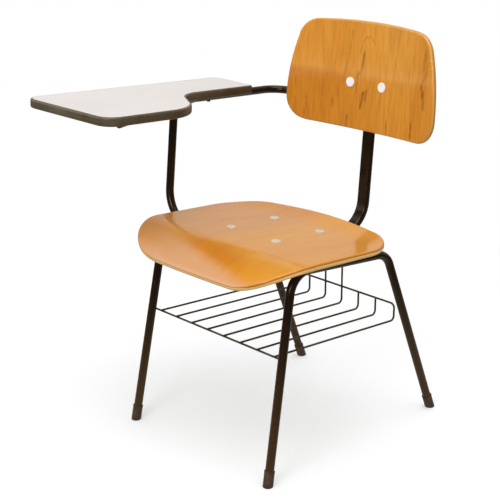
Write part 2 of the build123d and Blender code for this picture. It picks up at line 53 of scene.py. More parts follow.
# Chair axes: x = 0 in the chair's middle plane, and y = 0 half way between its front and rear feet.
FRONT_CROSS_Y = -105.0 * MM
FRONT_CROSS = middle("front_cross_tube")
REAR_CROSS = middle("rear_cross_tube")
CHAIR_X = middle("seat_shell").x
CHAIR_Y = FRONT_CROSS.y - FRONT_CROSS_Y
TUBE_RADIUS = 19.05 / 2 * MM
SEAT_SLOPE = atan2(FRONT_CROSS.z - REAR_CROSS.z, REAR_CROSS.y - FRONT_CROSS.y)


def chair(x, y, z):
    """A point given in millimetres on the chair's axes, in the frame."""
    return Vector((CHAIR_X + x * MM, CHAIR_Y + y * MM, z * MM))


# ---------------------------------------------------------------- camera, at the photograph's angle
# Angles are in degrees and the distance is in metres.
IMAGE_WIDTH_PX = 500
FOCAL_PX = 1254.46
SENSOR_WIDTH_MM = 36.0
CAMERA_AZIMUTH = 46.464
CAMERA_ELEVATION = 18.803
CAMERA_ROLL = -0.161
CAMERA_DISTANCE = 2.76689
CAMERA_TARGET = chair(-18.49, -96.38, 423.30)


def add_camera():
    data = bpy.data.cameras.new("camera")
    data.sensor_fit = "HORIZONTAL"
    data.sensor_width = SENSOR_WIDTH_MM
    data.lens = SENSOR_WIDTH_MM * FOCAL_PX / IMAGE_WIDTH_PX
    camera = bpy.data.objects.new("camera", data)
    turn = Euler((radians(90 - CAMERA_ELEVATION), 0, radians(CAMERA_AZIMUTH)), "XYZ").to_matrix()
    turn = turn @ Matrix.Rotation(radians(CAMERA_ROLL), 3, "Z")
    backwards = turn @ Vector((0, 0, 1))
    camera.matrix_world = Matrix.Translation(CAMERA_TARGET + backwards * CAMERA_DISTANCE) @ turn.to_4x4()
    bpy.context.scene.collection.objects.link(camera)
    bpy.context.scene.camera = camera


# ---------------------------------------------------------------- shader helpers
WHITE = (1.0, 1.0, 1.0, 1.0)
NOISE_ROUGHNESS = 0.55
# Most of a noise's values lie between these two.
NOISE_LOW = 0.3
NOISE_HIGH = 0.7


def linear(red, green, blue):
    """A display colour, 0 to 255 for each channel, as a linear shader colour."""
    def channel(value):
        value /= 255
        return value / 12.92 if value <= 0.04045 else ((value + 0.055) / 1.055) ** 2.4
    return channel(red), channel(green), channel(blue), 1.0


class Tree:
    """The node tree of a material or a world, with short methods for the nodes used most."""

    def __init__(self, owner):
        owner.use_nodes = True
        self.owner = owner
        self.nodes = owner.node_tree.nodes
        self.links = owner.node_tree.links

    def plug(self, socket, value):
        if isinstance(value, bpy.types.NodeSocket):
            self.links.new(value, socket)
        else:
            socket.default_value = value

    def add(self, kind, values=None, **settings):
        node = self.nodes.new(kind)
        for key, value in settings.items():
            setattr(node, key, value)
        for key, value in (values or {}).items():
            self.plug(node.inputs[key], value)
        return node

    def place(self):
        return self.add("ShaderNodeTexCoord").outputs["Object"]

    def attribute(self, name):
        return self.add("ShaderNodeAttribute", attribute_name=name).outputs["Vector"]

    def ray(self, kind):
        return self.add("ShaderNodeLightPath").outputs[kind]

    def split(self, vector):
        return self.add("ShaderNodeSeparateXYZ", {"Vector": vector}).outputs

    def mapped(self, vector, scale, rotation=(0, 0, 0)):
        values = {"Vector": vector, "Scale": scale, "Rotation": rotation}
        return self.add("ShaderNodeMapping", values).outputs["Vector"]

    def noise(self, vector, scale, detail=4.0, distortion=0.0):
        values = {"Vector": vector, "Scale": scale, "Detail": detail, "Roughness": NOISE_ROUGHNESS,
                  "Distortion": distortion}
        return self.add("ShaderNodeTexNoise", values).outputs["Fac"]

    def math(self, operation, first, second=0.0, third=0.0, clamp=False):
        values = {0: first, 1: second, 2: third}
        return self.add("ShaderNodeMath", values, operation=operation, use_clamp=clamp).outputs[0]

    def product(self, first, *others):
        for other in others:
            first = self.math("MULTIPLY", first, other)
        return first

    def remap(self, value, low, high, to_low=0.0, to_high=1.0, smooth=False):
        values = {"Value": value, "From Min": low, "From Max": high, "To Min": to_low, "To Max": to_high}
        kind = "SMOOTHSTEP" if smooth else "LINEAR"
        return self.add("ShaderNodeMapRange", values, interpolation_type=kind, clamp=True).outputs["Result"]

    def fade(self, value, start, end):
        """0 where the value is at start, rising softly to 1 where it is at end."""
        return self.remap(value, start, end, smooth=True)

    def spread(self, noise, to_low=0.0, to_high=1.0):
        """A noise stretched to a new range."""
        return self.remap(noise, NOISE_LOW, NOISE_HIGH, to_low, to_high)

    def mix(self, factor, first, second, blend="MIX"):
        """Two colours mixed; the node's colour sockets are its inputs 6 and 7."""
        values = {0: factor, 6: first, 7: second}
        return self.add("ShaderNodeMix", values, data_type="RGBA", blend_type=blend).outputs[2]

    def fleck(self, colour, noise, low, high, share, other):
        """The colour, with up to a share of another one where a noise rises from low to high."""
        return self.mix(self.remap(noise, low, high, 0.0, share), colour, other)

    def ramp(self, value, *stops):
        node = self.add("ShaderNodeValToRGB", {"Fac": value})
        elements = node.color_ramp.elements
        while len(elements) < len(stops):
            elements.new(1.0)
        for element, (position, colour) in zip(elements, stops):
            element.position = position
            element.color = colour
        return node.outputs["Color"]

    def bump(self, height, distance, over=None):
        """A bumped normal, on top of another one if that is given."""
        values = {"Height": height, "Distance": distance, "Strength": 1.0}
        if over is not None:
            values["Normal"] = over
        return self.add("ShaderNodeBump", values).outputs["Normal"]

    def vector(self, operation, first, second, output="Vector"):
        node = self.add("ShaderNodeVectorMath", {0: first, 1: second}, operation=operation)
        return node.outputs[output]

    def stroke(self, place, start, end, width):
        """1 on the line between two points of a flat pattern, fading to 0 at a width beside it."""
        run = Vector((*end, 0)) - Vector((*start, 0))
        from_start = self.vector("SUBTRACT", place, Vector((*start, 0)))
        share = self.vector("DOT_PRODUCT", from_start, run / run.length_squared, "Value")
        share = self.math("ADD", share, 0.0, clamp=True)
        along = self.add("ShaderNodeVectorMath", {0: run, "Scale": share}, operation="SCALE")
        gap = self.vector("DISTANCE", from_start, along.outputs["Vector"], "Value")
        return self.remap(gap, 0.0, width, 1.0, 0.0, smooth=True)

    def emission(self, colour):
        return self.add("ShaderNodeEmission", {"Color": colour, "Strength": 1.0}).outputs["Emission"]

    def diffuse(self, colour):
        return self.add("ShaderNodeBsdfDiffuse", {"Color": colour}).outputs["BSDF"]

    def blend(self, factor, first, second):
        """Two shaders mixed."""
        return self.add("ShaderNodeMixShader", {0: factor, 1: first, 2: second}).outputs[0]


class Material(Tree):
    """A material whose look is mostly a Principled shader."""

    def __init__(self, name):
        super().__init__(bpy.data.materials.new(name))
        self.principled = self.nodes["Principled BSDF"]

    def surface(self, **inputs):
        for key, value in inputs.items():
            self.plug(self.principled.inputs[key.replace("_", " ")], value)
        return self.owner


# ---------------------------------------------------------------- materials of the frame's own nodes
# Places, bump heights and depths are in metres, and a noise's scale is in features to the metre.
# Painted light: near the floor the enamel is mixed towards a lighter brown, standing in for the seat's
# shade higher up.
PAINTED_LIGHT_BROWN = linear(66, 46, 26)
PAINTED_LIGHT_FROM_Z = 0.44
PAINTED_LIGHT_MOST_Z = 0.10
PAINTED_LIGHT_RAGGED = 0.12
PAINTED_LIGHT_SHARE = 0.9
DUST = linear(70, 58, 42)
PEEL_HEIGHT = 0.04 * MM
WAVE_HEIGHT = 0.3 * MM
ENAMEL_SPECULAR = 0.42
ENAMEL_TINT = (1.0, 0.82, 0.58, 1.0)


def enamel(name, dark, light, roughness):
    """Brown-black stoved enamel on steel: faint orange peel, haze and dust, and painted light that makes it
    browner near the floor.
    """
    s = Material(name)
    place = s.place()
    haze = s.noise(place, 22.0, detail=6.0)
    colour = s.mix(s.remap(haze, 0.35, 0.75), dark, light)
    # Painted light: lighter brown low down, darker higher up where the seat shades the legs.
    height = s.math("MULTIPLY_ADD", haze, PAINTED_LIGHT_RAGGED, s.split(place)["Z"])
    painted_light_below = s.remap(height, PAINTED_LIGHT_FROM_Z, PAINTED_LIGHT_MOST_Z, 0.0, PAINTED_LIGHT_SHARE, smooth=True)
    colour = s.mix(painted_light_below, colour, PAINTED_LIGHT_BROWN)
    colour = s.fleck(colour, s.noise(place, 900.0, detail=2.0), 0.66, 0.74, 0.3, DUST)
    waves = s.bump(s.noise(place, 60.0, detail=3.0), WAVE_HEIGHT)
    normal = s.bump(s.noise(place, 420.0, detail=2.0), PEEL_HEIGHT, waves)
    rough = s.spread(s.noise(place, 35.0, detail=5.0), roughness - 0.06, roughness + 0.1)
    return s.surface(Base_Color=colour, Roughness=rough, Normal=normal,
                     Specular_IOR_Level=ENAMEL_SPECULAR, Specular_Tint=ENAMEL_TINT)


def plastic(name, dark, light, roughness):
    """Moulded dark plastic with a fine grain and upright scuffs."""
    s = Material(name)
    place = s.place()
    cloud = s.noise(place, 60.0, detail=6.0)
    colour = s.mix(s.remap(cloud, 0.35, 0.7), dark, light)
    scuffs = s.noise(s.mapped(place, (1.0, 1.0, 0.15)), 240.0, detail=4.0)
    colour = s.fleck(colour, scuffs, 0.62, 0.75, 0.4, light)
    rough = s.spread(cloud, roughness - 0.08, roughness + 0.12)
    normal = s.bump(s.noise(place, 1500.0, detail=2.0), 0.03 * MM)
    return s.surface(Base_Color=colour, Roughness=rough, Normal=normal)


def laminate():
    """Pale grey decor laminate: a very fine fleck, a slight cast and a stipple finish."""
    s = Material("tablet_laminate")
    place = s.place()
    cast = s.noise(place, 5.0, detail=3.0)
    colour = s.mix(s.spread(cast), linear(216, 212, 212), linear(222, 217, 216))
    colour = s.fleck(colour, s.noise(place, 1400.0, detail=2.0), 0.56, 0.7, 0.5, linear(198, 193, 193))
    scratches = s.noise(s.mapped(place, (60.0, 3.0, 3.0), rotation=(0, 0, 0.6)), 6.0, detail=5.0)
    rough = s.remap(scratches, 0.4, 0.7, 0.34, 0.46)
    normal = s.bump(s.noise(place, 900.0, detail=2.0), 0.02 * MM)
    return s.surface(Base_Color=colour, Roughness=rough, Normal=normal)


# Shares of the edge band's box, from its bottom up: the painted shade on its lower part is full below one
# and gone above the other.
BAND_SHADE_FULL = 0.25
BAND_SHADE_GONE = 0.8


def edge_band():
    """Extruded dark brown edge band, with drawn lines, and painted shade on its lower part where its
    rounded face turns down.
    """
    s = Material("tablet_edge_band")
    place = s.place()
    lines = s.noise(s.mapped(place, (6.0, 6.0, 700.0)), 1.0, detail=4.0)
    cloud = s.noise(place, 14.0, detail=5.0)
    colour = s.mix(s.spread(cloud), linear(76, 65, 46), linear(100, 92, 74))
    colour = s.fleck(colour, lines, 0.5, 0.75, 0.4, linear(112, 102, 80))
    low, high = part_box("tablet_edge_band")
    rise = high.z - low.z
    # Painted shade: the band darkens towards its bottom, where its rounded face turns away from the light.
    band_shade = s.remap(s.split(place)["Z"], low.z + BAND_SHADE_FULL * rise, low.z + BAND_SHADE_GONE * rise, 0.55, 0.0)
    colour = s.mix(band_shade, colour, linear(30, 20, 10))
    rough = s.spread(cloud, 0.28, 0.4)
    return s.surface(Base_Color=colour, Roughness=rough, Normal=s.bump(lines, 0.08 * MM))


def chipboard():
    """Raw chipboard, for the board between laminate and backing."""
    s = Material("tablet_board")
    flattened = s.mapped(s.place(), (1.0, 1.0, 2.5))
    chips = s.add("ShaderNodeTexVoronoi", {"Vector": flattened, "Scale": 320.0}).outputs["Distance"]
    colour = s.mix(chips, linear(196, 160, 112), linear(150, 112, 70))
    return s.surface(Base_Color=colour, Roughness=0.8, Normal=s.bump(chips, 0.3 * MM))


def backing():
    """Brown backing sheet under the tablet."""
    s = Material("tablet_backing")
    fibre = s.noise(s.mapped(s.place(), (1.0, 6.0, 1.0)), 120.0, detail=5.0)
    colour = s.mix(s.spread(fibre), linear(148, 118, 86), linear(168, 138, 104))
    return s.surface(Base_Color=colour, Roughness=0.55, Normal=s.bump(fibre, 0.05 * MM))


def rivet_enamel(name, pale, rubbed):
    """Off-white enamel on the rivet heads, with rubbed patches and grey specks."""
    s = Material(name)
    place = s.place()
    cloud = s.noise(place, 130.0, detail=4.0)
    colour = s.mix(s.remap(cloud, 0.4, 0.7), pale, rubbed)
    colour = s.fleck(colour, s.noise(place, 1200.0, detail=2.0), 0.64, 0.72, 0.5, linear(170, 160, 146))
    rough = s.spread(cloud, 0.22, 0.36)
    return s.surface(Base_Color=colour, Roughness=rough, Normal=s.bump(cloud, 0.12 * MM))


def zinc():
    """Bright zinc plate on the screws, with darker blotches."""
    s = Material("screw")
    cloud = s.noise(s.place(), 260.0, detail=5.0)
    colour = s.mix(s.remap(cloud, 0.35, 0.7), linear(176, 174, 168), linear(128, 124, 116))
    rough = s.spread(cloud, 0.28, 0.5)
    return s.surface(Base_Color=colour, Metallic=1.0, Roughness=rough, Normal=s.bump(cloud, 0.1 * MM))


# ---------------------------------------------------------------- plywood materials
# "grain" holds a point's place on the flat sheet. "edge" holds its way round the outline and its depth
# below the face. Both are in metres.
FIBRE_HEIGHT = 0.03 * MM
BAND_HEIGHT = 0.5 * MM
PLY_WANDER = 0.15 * MM
PLY_STREAK = linear(178, 112, 38)
FACE_ENDS = (0.4 * MM, 1.4 * MM)
REAR_STARTS = (1.2 * MM, 0.2 * MM)
REAR_SHADE = (0.86, 0.82, 0.74, 1.0)
LACQUER = {"Specular_IOR_Level": 0.3, "Coat_Weight": 0.85, "Coat_Roughness": 0.13}


def veneer(s, grain, pale, deep, streak, scale, contrast):
    """Long grain along the flat sheet's second axis: broad bands, figure, fibres and dark pores."""
    broad = s.noise(s.mapped(grain, (1.0, 0.22, 1.0)), 9.0, detail=4.0, distortion=0.6)
    figure = s.noise(s.mapped(grain, (1.0, 0.1, 1.0)), scale, detail=5.0, distortion=0.5)
    fibre = s.noise(s.mapped(grain, (1.0, 0.02, 1.0)), 700.0, detail=3.0)
    pores = s.noise(s.mapped(grain, (1.0, 0.05, 1.0)), 1400.0, detail=2.0)
    colour = s.mix(s.spread(broad), pale, deep)
    colour = s.fleck(colour, figure, 0.45, 0.75, contrast, streak)
    colour = s.fleck(colour, fibre, 0.4, 0.75, 0.6 * contrast, streak)
    colour = s.fleck(colour, pores, 0.62, 0.72, contrast, streak)
    height = s.math("MULTIPLY_ADD", pores, 0.5, fibre)
    return colour, s.bump(height, FIBRE_HEIGHT, s.bump(broad, BAND_HEIGHT)), figure


def lacquered(s, face, rear, normal, figure, thickness, rubbed, layers):
    """Clear lacquer over the two face veneers and over the plies that show on the rounded edges.

    Each layer is the depth in millimetres at which it starts and its colour. rubbed is how much sooner,
    in metres, the plies show.
    """
    edge = s.attribute("edge")
    below = s.split(edge)["Y"]
    lines = s.noise(s.mapped(edge, (16.0, 1500.0, 1.0)), 1.0, detail=3.0)
    depth = s.math("ADD", below, s.spread(lines, -PLY_WANDER, PLY_WANDER))
    share = s.math("DIVIDE", s.math("ADD", depth, rubbed), thickness)
    plies = s.ramp(share, *[(start * MM / thickness, colour) for start, colour in layers])
    plies = s.fleck(plies, lines, 0.45, 0.75, 0.3, PLY_STREAK)
    colour = s.mix(s.remap(below, *FACE_ENDS), face, plies)
    rear = s.mix(0.8, rear, REAR_SHADE, "MULTIPLY")
    colour = s.mix(s.remap(below, *[thickness - start for start in REAR_STARTS]), colour, rear)
    return s.surface(Base_Color=colour, Roughness=s.spread(figure, 0.42, 0.52), Normal=normal, **LACQUER)


# On the seat: the edge of painted shade with a pale painted reflection, the band of painted dark reflection
# behind the front lip, and the worn lip. Each runs across the seat, or along it, with a slope; pairs run
# from none to full.
# The straight edge past which the face gets painted shade with a pale painted reflection, and its tint.
SHADE_EDGE_X = -12.0 * MM
SHADE_EDGE_SLOPE = 0.095
SHADE_EDGE_WIDTH = (-2.0 * MM, 2.0 * MM)
SHADE_AND_REFLECTION_TINT = (0.94, 0.93, 3.0, 1.0)
# The band of painted dark reflection behind the front lip, where the lip mirrors the dark arm and tablet.
DARK_REFLECTION_Y = -232.0 * MM
DARK_REFLECTION_SLOPE = 0.15
DARK_REFLECTION_WIDTH = (50.0 * MM, 4.0 * MM)
DARK_REFLECTION_LOW_X = (-110.0 * MM, 0.0)
DARK_REFLECTION_HIGH_X = (190.0 * MM, 70.0 * MM)
DARK_REFLECTION_SHARE = 0.9
DARK_REFLECTION_TINT = (0.84, 0.68, 0.22, 1.0)
WORN_Y = (-232.0 * MM, -266.0 * MM)
WORN_SLOPE = 0.2
WORN_RAGGED = 10.0 * MM
WORN_HIGH_X = (240.0 * MM, 160.0 * MM)
WORN_LOW_X = (-190.0 * MM, -60.0 * MM)
WORN_SHARES = (0.2, 0.9)
WORN_DEPTH = 3.0 * MM
WORN_COLOUR = linear(206, 154, 112)
SEAT_LAYERS = (
    (0.0, linear(190, 116, 28)), (4.4, linear(172, 102, 24)), (5.0, linear(252, 214, 140)),
    (6.4, linear(248, 204, 122)), (9.2, linear(246, 198, 116)), (10.2, linear(232, 176, 92)),
)


def seat_plywood():
    """Face veneer with painted shade and a pale painted reflection on the sitter's right of a line near the
    middle.

    A band of painted dark reflection lies behind the front lip, and the lip itself is rubbed pale.
    """
    s = Material("seat_plywood")
    grain = s.attribute("grain")
    across, along, _ = s.split(grain)
    golden, normal, figure = veneer(
        s, grain, linear(216, 148, 30), linear(208, 137, 22), linear(190, 112, 20), 90.0, 0.15)
    # Painted shade with a pale painted reflection, on the sitter's right of the straight edge.
    shade_and_reflection = s.mix(1.0, golden, SHADE_AND_REFLECTION_TINT, "MULTIPLY")
    beside_shade_edge = s.math("SUBTRACT", across, s.math("MULTIPLY_ADD", along, SHADE_EDGE_SLOPE, SHADE_EDGE_X))
    face = s.mix(s.remap(beside_shade_edge, *SHADE_EDGE_WIDTH), shade_and_reflection, golden)

    # Painted dark reflection: a darker, more saturated band behind the front lip.
    dark_reflection_line = s.math("MULTIPLY_ADD", across, DARK_REFLECTION_SLOPE, along)
    off_dark_reflection = s.math("ABSOLUTE", s.math("SUBTRACT", dark_reflection_line, DARK_REFLECTION_Y))
    dark_reflection = s.product(s.fade(off_dark_reflection, *DARK_REFLECTION_WIDTH), s.fade(across, *DARK_REFLECTION_LOW_X),
                      s.fade(across, *DARK_REFLECTION_HIGH_X), DARK_REFLECTION_SHARE)
    face = s.mix(dark_reflection, face, DARK_REFLECTION_TINT, "MULTIPLY")

    worn_line = s.math("MULTIPLY_ADD", across, WORN_SLOPE, along)
    to_front = s.fade(s.math("MULTIPLY_ADD", figure, WORN_RAGGED, worn_line), *WORN_Y)
    worn = s.product(to_front, s.fade(across, *WORN_HIGH_X), s.remap(across, *WORN_LOW_X, *WORN_SHARES))
    face = s.mix(worn, face, WORN_COLOUR)
    rubbed = s.math("MULTIPLY", to_front, WORN_DEPTH)
    return lacquered(s, face, golden, normal, figure, SEAT_PLY, rubbed, SEAT_LAYERS)


# On the backrest: where painted shade and dark reflection deepen the veneer, and its bold streaks.
BACK_SHADE_V = (16.0 * MM, -6.0 * MM)
BACK_SHADE_X = (120.0 * MM, -200.0 * MM)
BACK_SHADE_SHARES = (0.15, 0.85)
BACK_SHADE_TINT = (0.82, 0.68, 0.22, 1.0)
STREAK_JITTER = (8.0 * MM, 20.0 * MM, 0.0)
STREAK_COLOUR = linear(126, 60, 8)
BACK_STREAKS = (
    # start and end on the backrest in millimetres, the width in millimetres at which it has gone, darkness
    ((-50, 104), (-55, 64), 3.9, 0.35), ((-55, 64), (-64, 7), 4.5, 0.35),
    ((-20, 82), (-9, 93), 3.9, 0.4), ((-9, 93), (6, 95), 3.6, 0.3), ((6, 95), (18, 82), 3.9, 0.35),
    ((-20, 82), (-23, 59), 3.6, 0.3), ((-12, 60), (-15, 31), 5.1, 0.8), ((-16, 27), (-21, 8), 4.2, 0.6),
    ((-28, 12), (-29, -34), 4.8, 0.5), ((-8, -34), (-13, -67), 6.9, 0.9), ((1, -28), (-1, -49), 6.3, 0.7),
    ((-200, -16), (-198, -43), 3.6, 0.5), ((-169, -56), (-165, -89), 3.9, 0.45),
    ((-97, -58), (-94, -77), 3.6, 0.5), ((-50, -94), (-52, -118), 4.8, 0.7),
    ((70, -86), (72, -117), 3.9, 0.6), ((151, -76), (152, -113), 4.5, 0.9),
    ((183, 85), (180, 47), 9.0, 0.5), ((186, 35), (176, 8), 7.5, 0.6), ((176, 8), (181, -13), 7.5, 0.65),
    ((183, -2), (187, -37), 8.25, 0.6), ((143, 71), (144, 31), 4.5, 0.3),
)
# Ply colours by depth; the paler band from 1.4 to 4.2 mm, on the rounded rim, is a painted highlight.
BACK_PLIES_AND_RIM_HIGHLIGHT = (
    (0.0, linear(200, 130, 40)), (1.4, linear(214, 154, 66)), (4.2, linear(218, 160, 70)),
    (5.0, linear(196, 128, 42)), (8.0, linear(190, 120, 38)), (9.0, linear(180, 108, 30)),
)


def back_plywood():
    """Upright veneer, paler above and deeper below with painted shade and dark reflection, with a few bold
    dark streaks and an arch.
    """
    s = Material("back_plywood")
    grain = s.attribute("grain")
    across, upwards, _ = s.split(grain)
    plain, normal, figure = veneer(
        s, grain, linear(234, 165, 58), linear(220, 145, 32), linear(160, 86, 12), 140.0, 0.4)
    # Painted shade and dark reflection: the veneer deepens below, most at the sitter's right.
    shade_across = s.math("MULTIPLY_ADD", s.remap(across, *BACK_SHADE_X), BACK_SHADE_SHARES[1], BACK_SHADE_SHARES[0])
    deep = s.math("MULTIPLY", s.fade(upwards, *BACK_SHADE_V), shade_across)
    face = s.mix(deep, plain, BACK_SHADE_TINT, "MULTIPLY")

    ragged = s.add("ShaderNodeTexNoise", {"Vector": s.mapped(grain, (1.0, 0.25, 1.0)), "Scale": 260.0})
    jitter = s.vector("SUBTRACT", ragged.outputs["Color"], (0.5, 0.5, 0.5))
    loose = s.vector("ADD", grain, s.vector("MULTIPLY", jitter, STREAK_JITTER))
    fibres = s.noise(s.mapped(grain, (1.0, 0.06, 1.0)), 620.0, detail=3.0)
    fibres = s.remap(fibres, 0.38, 0.6, 0.4, 1.0)
    for start, end, width, darkness in BACK_STREAKS:
        line = s.stroke(loose, [v * MM for v in start], [v * MM for v in end], width * MM)
        face = s.mix(s.product(line, fibres, darkness), face, STREAK_COLOUR)
    return lacquered(s, face, plain, normal, figure, BACK_PLY, 0.0, BACK_PLIES_AND_RIM_HIGHLIGHT)


# ---------------------------------------------------------------- rounded outlines in the plane
ARC_STEPS = 160
CORNER_STEPS = 60
IN_LINE = 1e-9


def unit(rows):
    return rows / np.linalg.norm(rows, axis=1)[:, None]


def angle_of(point):
    return atan2(point[1], point[0])


def arc_through(start, via, end):
    """Points of the arc through three points, or of the straight line if they are in line."""
    a, b, c = (np.array(point, float) for point in (start, via, end))
    cross = (b - a)[0] * (c - a)[1] - (b - a)[1] * (c - a)[0]
    if abs(cross) < IN_LINE:
        return a + np.linspace(0, 1, ARC_STEPS)[:, None] * (c - a)
    lengths = np.array([a @ a, b @ b, c @ c])
    d = 2 * (a[0] * (b[1] - c[1]) + b[0] * (c[1] - a[1]) + c[0] * (a[1] - b[1]))
    centre = np.array([
        lengths @ [b[1] - c[1], c[1] - a[1], a[1] - b[1]],
        lengths @ [c[0] - b[0], a[0] - c[0], b[0] - a[0]],
    ]) / d
    first = angle_of(a - centre)
    turn = (angle_of(c - centre) - first) % (2 * pi)
    if cross < 0:
        turn -= 2 * pi
    angles = first + np.linspace(0, 1, ARC_STEPS) * turn
    return centre + np.linalg.norm(a - centre) * np.stack([np.cos(angles), np.sin(angles)], 1)


def inset(line, distance):
    """The line moved to its left."""
    along = unit(np.gradient(line, axis=0))
    return line + distance * np.stack([-along[:, 1], along[:, 0]], 1)


def outward(outline):
    """The directions out of a closed anticlockwise outline at its points."""
    closed = np.vstack([outline[-1:], outline, outline[:1]])
    return unit(outline - inset(closed, 1.0)[1:-1])


def rounded(sides, radii):
    """A closed outline, anticlockwise, from its sides in order and the radius at each side's end."""
    cuts = []
    for number, radius in enumerate(radii):
        first, second = sides[number], sides[(number + 1) % len(sides)]
        gaps = np.linalg.norm(inset(first, radius)[:, None] - inset(second, radius)[None], axis=2)
        here, there = np.unravel_index(gaps.argmin(), gaps.shape)
        cuts.append((here, there, inset(first, radius)[here]))
    points = []
    for number, side in enumerate(sides):
        start = cuts[number - 1][1]
        end, following, centre = cuts[number]
        points.extend(side[start + 1:end])
        after = sides[(number + 1) % len(sides)][following]
        first = angle_of(side[end] - centre)
        turn = (angle_of(after - centre) - first) % (2 * pi)
        angles = first + np.linspace(0, 1, CORNER_STEPS) * turn
        points.extend(centre + radii[number] * np.stack([np.cos(angles), np.sin(angles)], 1))
    return np.array(points)


def evenly(outline, count):
    """The closed outline again, with points the same distance apart."""
    closed = np.vstack([outline, outline[:1]])
    run = np.concatenate([[0], np.cumsum(np.linalg.norm(np.diff(closed, axis=0), axis=1))])
    places = np.linspace(0, run[-1], count, endpoint=False)
    return np.stack([np.interp(places, run, closed[:, axis]) for axis in (0, 1)], 1)


def mirrored_sides(half_low, low, low_bow, half_high, high, high_bow, waist=None):
    """Four sides, anticlockwise from the low one: bowed ends and straight or waisted flanks."""
    low_right, low_left = (half_low, low), (-half_low, low)
    high_right, high_left = (half_high, high), (-half_high, high)
    mid_right = waist or ((half_low + half_high) / 2, (low + high) / 2)
    mid_left = (-mid_right[0], mid_right[1])
    return [
        arc_through(low_left, (0, low_bow), low_right),
        arc_through(low_right, mid_right, high_right),
        arc_through(high_right, (0, high_bow), high_left),
        arc_through(high_left, mid_left, low_left),
    ]


# ---------------------------------------------------------------- moulded plywood sheets
# Rings of points, as shares of the way from the sheet's centre to its rim: closer near the rim.
RING_SHARES = np.concatenate([np.linspace(0.0, 0.9, 19)[1:], [0.94, 0.97, 0.985, 1.0]])
LIP_STEPS = 9
PLY_STEPS = 14
HEEL_STEPS = 7
PLY_PROUD = 0.08 * MM
PLY_WAVES = 2
SLOPE_STEP = 0.5 * MM


def edge_section(thickness, lip, heel):
    """How far out of the rim and below the face each ring of the edge lies, from the face to the back."""
    section = []
    for angle in np.linspace(0, pi / 2, LIP_STEPS)[1:]:
        section.append((lip * sin(angle), lip * (1 - cos(angle))))
    for step in np.linspace(0, 1, PLY_STEPS)[1:-1]:
        wave = PLY_PROUD * sin(step * PLY_WAVES * 2 * pi)
        section.append((lip + wave, lip + step * (thickness - lip - heel)))
    for angle in np.linspace(0, pi / 2, HEEL_STEPS)[:-1]:
        section.append((lip - heel + heel * cos(angle), thickness - heel * (1 - sin(angle))))
    section.append((lip - heel, thickness))
    return section


def sheet_faces(count, face_rings, edge_rings):
    """Faces from the front's centre over the edge to the back's centre, for rings of count points.

    The front and edge rings run outwards. The back's centre follows them, and then the back's rings,
    again outwards; its outermost ring is the edge's last one.
    """
    front = [1 + count * ring for ring in range(face_rings + edge_rings)]
    back_centre = front[-1] + count
    back = [back_centre + 1 + count * ring for ring in range(face_rings - 1)]
    faces = [(0, 1 + i, 1 + (i + 1) % count) for i in range(count)]
    rings = front + back[::-1]
    for low, high in zip(rings, rings[1:]):
        for i in range(count):
            j = (i + 1) % count
            faces.append((low + i, high + i, high + j, low + j))
    return faces + [(back_centre, back[0] + (i + 1) % count, back[0] + i) for i in range(count)]


def keep_pair(mesh, name, first, second):
    """Two numbers for each point, which materials read by the attribute's name."""
    values = np.column_stack([first, second, np.zeros(len(first))])
    mesh.attributes.new(name, "FLOAT_VECTOR", "POINT").data.foreach_set("vector", values.ravel())


def sheet_mesh(name, outline, surface, thickness, lip, heel, material):
    """A moulded sheet: a fine face, a rolled lip, an edge whose plies stand a little proud, and a back.

    surface(points) gives the front face's places and outward normals for points on the flat outline.
    """
    count = len(outline)
    centre = outline.mean(0)
    flat_outward = outward(outline)
    rim = outline - flat_outward * lip
    flat = np.vstack([centre[None]] + [centre + (rim - centre) * share for share in RING_SHARES])
    places, normals = surface(flat)
    rim_places, rim_normals = places[-count:], normals[-count:]
    outwards = surface(rim + flat_outward * SLOPE_STEP)[0] - rim_places
    outwards = unit(outwards - (outwards * rim_normals).sum(1)[:, None] * rim_normals)

    section = edge_section(thickness, lip, heel)
    vertices, depths, grains = [places], [np.zeros(len(places))], [flat]
    for out, depth in section:
        vertices.append(rim_places + outwards * out - rim_normals * depth)
        depths.append(np.full(count, depth))
        grains.append(rim + flat_outward * out)
    vertices.append((places - normals * thickness)[:-count])
    depths.append(np.full(len(places) - count, thickness))
    grains.append(flat[:-count])

    mesh = bpy.data.meshes.new(name)
    faces = sheet_faces(count, len(RING_SHARES), len(section))
    mesh.from_pydata(np.vstack(vertices).tolist(), [], faces)
    mesh.polygons.foreach_set("use_smooth", [True] * len(faces))
    grain = np.vstack(grains)
    keep_pair(mesh, "grain", grain[:, 0], grain[:, 1])
    run = np.concatenate([[0], np.cumsum(np.linalg.norm(np.diff(outline, axis=0), axis=1))])
    runs = np.concatenate([[0], np.resize(run, len(grain) - 1)])
    keep_pair(mesh, "edge", runs, np.concatenate(depths))
    mesh.materials.append(material)
    mesh.update()
    piece = bpy.data.objects.new(name, mesh)
    bpy.context.scene.collection.objects.link(piece)
    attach(piece, "root")
    return piece


